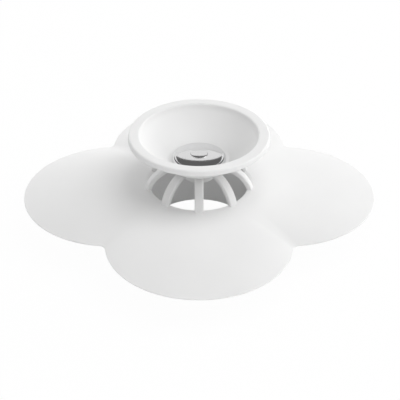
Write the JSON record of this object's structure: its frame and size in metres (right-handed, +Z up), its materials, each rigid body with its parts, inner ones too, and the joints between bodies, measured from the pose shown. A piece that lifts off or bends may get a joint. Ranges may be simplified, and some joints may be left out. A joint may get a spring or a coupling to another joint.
{
  "type": "drain stopper",
  "caption": "Petal-shaped soft drain stopper: a skirt with a drain sleeve, a cage of ribs, and a cup with a metal button that presses down to plug the mouth.",
  "frame": {"origin": "on the drain's axis, at the plane that the petals rest on", "axes": "+Z up out of the drain, +X towards the tip of one petal, one rib on -Y"},
  "size_m": [0.145, 0.145, 0.0453],
  "materials": {
    "white_soft_rubber": "soft matte white moulding",
    "polished_metal": "polished",
    "fastener_steel": "plain machined"
  },
  "bodies": {
    "base": {"petal_skirt": "white_soft_rubber", "drain_sleeve": "white_soft_rubber", "rib_1": "white_soft_rubber", "rib_2": "white_soft_rubber", "rib_3": "white_soft_rubber", "rib_4": "white_soft_rubber", "rib_5": "white_soft_rubber", "rib_6": "white_soft_rubber", "rib_7": "white_soft_rubber", "rib_8": "white_soft_rubber", "rib_9": "white_soft_rubber"},
    "cup": {"stopper_cup": "white_soft_rubber", "metal_button": "polished_metal", "button_rivet": "fastener_steel", "rivet_washer": "fastener_steel"}
  },
  "joints": [
    {"name": "cup_press", "type": "slide", "parent": "base", "child": "cup", "axis": [0, 0, -1], "range_m": [0, 0.0152], "deforming": ["rib_1", "rib_2", "rib_3", "rib_4", "rib_5", "rib_6", "rib_7", "rib_8", "rib_9"]}
  ]
}
